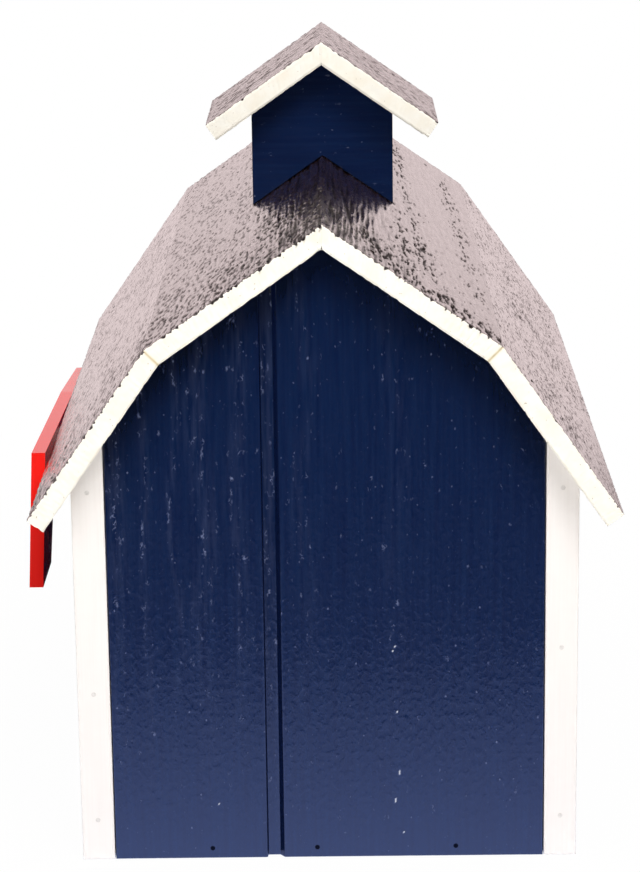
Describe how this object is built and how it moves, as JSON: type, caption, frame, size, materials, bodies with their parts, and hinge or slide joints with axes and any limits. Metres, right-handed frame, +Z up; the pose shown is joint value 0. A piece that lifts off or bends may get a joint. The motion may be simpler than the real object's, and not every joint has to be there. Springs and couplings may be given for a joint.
{
  "type": "barn mailbox",
  "caption": "Wooden barn-shaped mailbox with a gambrel roof, ridge cupola, drop-down door and a pivoting signal flag.",
  "frame": {"origin": "middle of the floor's underside", "axes": "+Z up, +Y along the box and out of the door at the front, the flag on the -X side"},
  "size_m": [0.3556, 0.544, 0.4592],
  "materials": {
    "navy_paint": "semi-gloss navy paint over embossed siding",
    "white_paint": "satin white paint",
    "roof_paint": "glossy dark brown paint over embossed boards, white edges",
    "red_paint": "satin red paint",
    "bare_wood": "planed, unpainted",
    "catch_plastic": "moulded",
    "hinge_steel": "zinc plated",
    "zinc_steel": "zinc plated"
  },
  "bodies": {
    "house": {"back_left_corner_strip": "white_paint", "back_panel": "navy_paint", "back_right_corner_strip": "white_paint", "catch_screws": "zinc_steel", "corner_strip_nails": "zinc_steel", "cupola_block": "navy_paint", "cupola_nails": "zinc_steel", "cupola_roof_left": "roof_paint", "cupola_roof_right": "roof_paint", "cupola_screws": "zinc_steel", "door_stop": "bare_wood", "flag_bolt": "zinc_steel", "flag_lock_nut": "zinc_steel", "flag_spacer": "navy_paint", "flag_spacer_screws": "zinc_steel", "flag_washers": "zinc_steel", "floor_board": "bare_wood", "floor_edge_nails": "zinc_steel", "front_gable": "navy_paint", "front_header": "white_paint", "front_left_corner_strip": "white_paint", "front_right_corner_strip": "white_paint", "front_sill": "white_paint", "hinge_pins": "hinge_steel", "hinge_sill_screws": "zinc_steel", "left_hinge_sill_leaf": "hinge_steel", "left_side_wall": "navy_paint", "magnetic_catch": "catch_plastic", "panel_edge_nails": "zinc_steel", "right_hinge_sill_leaf": "hinge_steel", "right_side_wall": "navy_paint", "roof_lower_left": "roof_paint", "roof_lower_right": "roof_paint", "roof_nails": "zinc_steel", "roof_upper_left": "roof_paint", "roof_upper_right": "roof_paint", "stop_nails": "zinc_steel", "wall_nails": "zinc_steel"},
    "door": {"door_panel": "navy_paint", "door_top_rail": "white_paint", "door_bottom_rail": "white_paint", "door_left_stile": "white_paint", "door_right_stile": "white_paint", "door_long_brace": "white_paint", "door_lower_brace": "white_paint", "door_upper_brace": "white_paint", "door_knob": "white_paint", "knob_screw": "zinc_steel", "strike_plate": "zinc_steel", "strike_screw": "zinc_steel", "door_nails": "zinc_steel", "left_hinge_door_leaf": "hinge_steel", "right_hinge_door_leaf": "hinge_steel", "hinge_door_screws": "zinc_steel"},
    "flag": {"signal_flag": "red_paint"}
  },
  "joints": [
    {"name": "door_hinge", "type": "hinge", "parent": "house", "child": "door", "pos_m": [0, 0.25075, 0.03115], "axis": [-1, 0, 0], "range_deg": [0, 90]},
    {"name": "flag_pivot", "type": "hinge", "parent": "house", "child": "flag", "pos_m": [-0.1759, 0.17105, 0.18025], "axis": [-1, 0, 0], "range_deg": [0, 90]}
  ]
}
